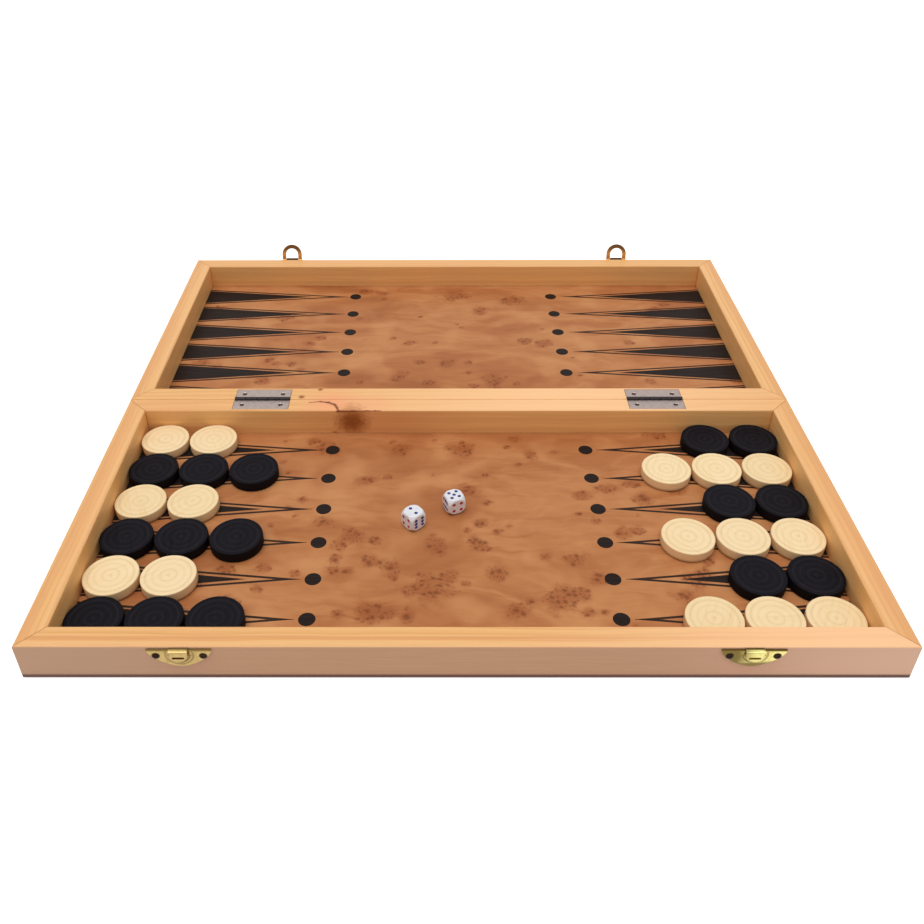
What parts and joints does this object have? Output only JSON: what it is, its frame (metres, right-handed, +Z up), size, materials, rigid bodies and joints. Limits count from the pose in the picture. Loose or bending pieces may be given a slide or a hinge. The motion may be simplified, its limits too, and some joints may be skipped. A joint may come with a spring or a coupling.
{
  "type": "folding backgammon board",
  "caption": "Folding wooden backgammon board opened flat: mitred trays on butt hinges, drop-loop clasps, turned light and dark checkers standing on their points, and dice.",
  "frame": {"origin": "on the table under the middle of the fold line, at the bottom centre of the opened board", "axes": "+X along the fold line to the right, +Y from the fold to the far tray, +Z up, with the board opened flat at rest"},
  "size_m": [0.48, 0.4689, 0.0377],
  "materials": {
    "honey_pine": "clear satin lacquer",
    "panel_plywood": "plain plywood, satin",
    "burl_veneer": "lacquered burl veneer",
    "plated_steel": "dull plated",
    "dark_steel": "dark, unpolished",
    "brass": "polished",
    "pale_maple": "clear satin",
    "black_stained_maple": "black stain, satin",
    "white_dice_plastic": "gloss"
  },
  "bodies": {
    "near_tray": {"near_front_rail": "honey_pine", "near_hinge_rail": "honey_pine", "near_left_rail": "honey_pine", "near_right_rail": "honey_pine", "near_floor_panel": "panel_plywood", "near_playing_veneer": "burl_veneer", "near_hinge_leaf_left": "plated_steel", "near_hinge_leaf_right": "plated_steel", "hinge_pin_left": "dark_steel", "hinge_pin_right": "dark_steel", "catch_plate_left": "brass", "catch_plate_right": "brass"},
    "far_tray": {"far_back_rail": "honey_pine", "far_hinge_rail": "honey_pine", "far_left_rail": "honey_pine", "far_right_rail": "honey_pine", "far_floor_panel": "panel_plywood", "far_playing_veneer": "burl_veneer", "far_hinge_leaf_left": "plated_steel", "far_hinge_leaf_right": "plated_steel", "loop_plate_left": "brass", "loop_plate_right": "brass", "clasp_pin_left": "brass", "clasp_pin_right": "brass"},
    "clasp_loop_left": {"clasp_loop_left": "brass"},
    "clasp_loop_right": {"clasp_loop_right": "brass"},
    "light_checker_01": {"light_checker_01": "pale_maple"},
    "light_checker_02": {"light_checker_02": "pale_maple"},
    "light_checker_03": {"light_checker_03": "pale_maple"},
    "light_checker_04": {"light_checker_04": "pale_maple"},
    "light_checker_05": {"light_checker_05": "pale_maple"},
    "light_checker_06": {"light_checker_06": "pale_maple"},
    "light_checker_07": {"light_checker_07": "pale_maple"},
    "light_checker_08": {"light_checker_08": "pale_maple"},
    "light_checker_09": {"light_checker_09": "pale_maple"},
    "light_checker_10": {"light_checker_10": "pale_maple"},
    "light_checker_11": {"light_checker_11": "pale_maple"},
    "light_checker_12": {"light_checker_12": "pale_maple"},
    "light_checker_13": {"light_checker_13": "pale_maple"},
    "light_checker_14": {"light_checker_14": "pale_maple"},
    "light_checker_15": {"light_checker_15": "pale_maple"},
    "dark_checker_01": {"dark_checker_01": "black_stained_maple"},
    "dark_checker_02": {"dark_checker_02": "black_stained_maple"},
    "dark_checker_03": {"dark_checker_03": "black_stained_maple"},
    "dark_checker_04": {"dark_checker_04": "black_stained_maple"},
    "dark_checker_05": {"dark_checker_05": "black_stained_maple"},
    "dark_checker_06": {"dark_checker_06": "black_stained_maple"},
    "dark_checker_07": {"dark_checker_07": "black_stained_maple"},
    "dark_checker_08": {"dark_checker_08": "black_stained_maple"},
    "dark_checker_09": {"dark_checker_09": "black_stained_maple"},
    "dark_checker_10": {"dark_checker_10": "black_stained_maple"},
    "dark_checker_11": {"dark_checker_11": "black_stained_maple"},
    "dark_checker_12": {"dark_checker_12": "black_stained_maple"},
    "dark_checker_13": {"dark_checker_13": "black_stained_maple"},
    "dark_checker_14": {"dark_checker_14": "black_stained_maple"},
    "dark_checker_15": {"dark_checker_15": "black_stained_maple"},
    "die_left": {"die_left": "white_dice_plastic"},
    "die_right": {"die_right": "white_dice_plastic"}
  },
  "joints": [
    {"name": "board_fold", "type": "hinge", "parent": "near_tray", "child": "far_tray", "pos_m": [0, 0, 0.02515], "axis": [-1, 0, 0], "range_deg": [-180, 0]},
    {"name": "clasp_left_swing", "type": "hinge", "parent": "far_tray", "child": "clasp_loop_left", "pos_m": [-0.1517, 0.23145, 0.0235], "axis": [-1, 0, 0], "range_deg": [-15, 138]},
    {"name": "clasp_right_swing", "type": "hinge", "parent": "far_tray", "child": "clasp_loop_right", "pos_m": [0.1517, 0.23145, 0.0235], "axis": [-1, 0, 0], "range_deg": [-15, 138]},
    {"name": "dark_checker_01_lift", "type": "slide", "parent": "near_tray", "child": "dark_checker_01", "axis": [0, 0, 1], "range_m": [0, 0.03]},
    {"name": "dark_checker_02_lift", "type": "slide", "parent": "near_tray", "child": "dark_checker_02", "axis": [0, 0, 1], "range_m": [0, 0.03]},
    {"name": "dark_checker_03_lift", "type": "slide", "parent": "near_tray", "child": "dark_checker_03", "axis": [0, 0, 1], "range_m": [0, 0.03]},
    {"name": "dark_checker_04_lift", "type": "slide", "parent": "near_tray", "child": "dark_checker_04", "axis": [0, 0, 1], "range_m": [0, 0.03]},
    {"name": "dark_checker_05_lift", "type": "slide", "parent": "near_tray", "child": "dark_checker_05", "axis": [0, 0, 1], "range_m": [0, 0.03]},
    {"name": "dark_checker_06_lift", "type": "slide", "parent": "near_tray", "child": "dark_checker_06", "axis": [0, 0, 1], "range_m": [0, 0.03]},
    {"name": "dark_checker_07_lift", "type": "slide", "parent": "near_tray", "child": "dark_checker_07", "axis": [0, 0, 1], "range_m": [0, 0.03]},
    {"name": "dark_checker_08_lift", "type": "slide", "parent": "near_tray", "child": "dark_checker_08", "axis": [0, 0, 1], "range_m": [0, 0.03]},
    {"name": "dark_checker_09_lift", "type": "slide", "parent": "near_tray", "child": "dark_checker_09", "axis": [0, 0, 1], "range_m": [0, 0.03]},
    {"name": "dark_checker_10_lift", "type": "slide", "parent": "near_tray", "child": "dark_checker_10", "axis": [0, 0, 1], "range_m": [0, 0.03]},
    {"name": "dark_checker_11_lift", "type": "slide", "parent": "near_tray", "child": "dark_checker_11", "axis": [0, 0, 1], "range_m": [0, 0.03]},
    {"name": "dark_checker_12_lift", "type": "slide", "parent": "near_tray", "child": "dark_checker_12", "axis": [0, 0, 1], "range_m": [0, 0.03]},
    {"name": "dark_checker_13_lift", "type": "slide", "parent": "near_tray", "child": "dark_checker_13", "axis": [0, 0, 1], "range_m": [0, 0.03]},
    {"name": "dark_checker_14_lift", "type": "slide", "parent": "near_tray", "child": "dark_checker_14", "axis": [0, 0, 1], "range_m": [0, 0.03]},
    {"name": "dark_checker_15_lift", "type": "slide", "parent": "near_tray", "child": "dark_checker_15", "axis": [0, 0, 1], "range_m": [0, 0.03]},
    {"name": "die_left_lift", "type": "slide", "parent": "near_tray", "child": "die_left", "axis": [0, 0, 1], "range_m": [0, 0.03]},
    {"name": "die_right_lift", "type": "slide", "parent": "near_tray", "child": "die_right", "axis": [0, 0, 1], "range_m": [0, 0.03]},
    {"name": "light_checker_01_lift", "type": "slide", "parent": "near_tray", "child": "light_checker_01", "axis": [0, 0, 1], "range_m": [0, 0.03]},
    {"name": "light_checker_02_lift", "type": "slide", "parent": "near_tray", "child": "light_checker_02", "axis": [0, 0, 1], "range_m": [0, 0.03]},
    {"name": "light_checker_03_lift", "type": "slide", "parent": "near_tray", "child": "light_checker_03", "axis": [0, 0, 1], "range_m": [0, 0.03]},
    {"name": "light_checker_04_lift", "type": "slide", "parent": "near_tray", "child": "light_checker_04", "axis": [0, 0, 1], "range_m": [0, 0.03]},
    {"name": "light_checker_05_lift", "type": "slide", "parent": "near_tray", "child": "light_checker_05", "axis": [0, 0, 1], "range_m": [0, 0.03]},
    {"name": "light_checker_06_lift", "type": "slide", "parent": "near_tray", "child": "light_checker_06", "axis": [0, 0, 1], "range_m": [0, 0.03]},
    {"name": "light_checker_07_lift", "type": "slide", "parent": "near_tray", "child": "light_checker_07", "axis": [0, 0, 1], "range_m": [0, 0.03]},
    {"name": "light_checker_08_lift", "type": "slide", "parent": "near_tray", "child": "light_checker_08", "axis": [0, 0, 1], "range_m": [0, 0.03]},
    {"name": "light_checker_09_lift", "type": "slide", "parent": "near_tray", "child": "light_checker_09", "axis": [0, 0, 1], "range_m": [0, 0.03]},
    {"name": "light_checker_10_lift", "type": "slide", "parent": "near_tray", "child": "light_checker_10", "axis": [0, 0, 1], "range_m": [0, 0.03]},
    {"name": "light_checker_11_lift", "type": "slide", "parent": "near_tray", "child": "light_checker_11", "axis": [0, 0, 1], "range_m": [0, 0.03]},
    {"name": "light_checker_12_lift", "type": "slide", "parent": "near_tray", "child": "light_checker_12", "axis": [0, 0, 1], "range_m": [0, 0.03]},
    {"name": "light_checker_13_lift", "type": "slide", "parent": "near_tray", "child": "light_checker_13", "axis": [0, 0, 1], "range_m": [0, 0.03]},
    {"name": "light_checker_14_lift", "type": "slide", "parent": "near_tray", "child": "light_checker_14", "axis": [0, 0, 1], "range_m": [0, 0.03]},
    {"name": "light_checker_15_lift", "type": "slide", "parent": "near_tray", "child": "light_checker_15", "axis": [0, 0, 1], "range_m": [0, 0.03]}
  ]
}
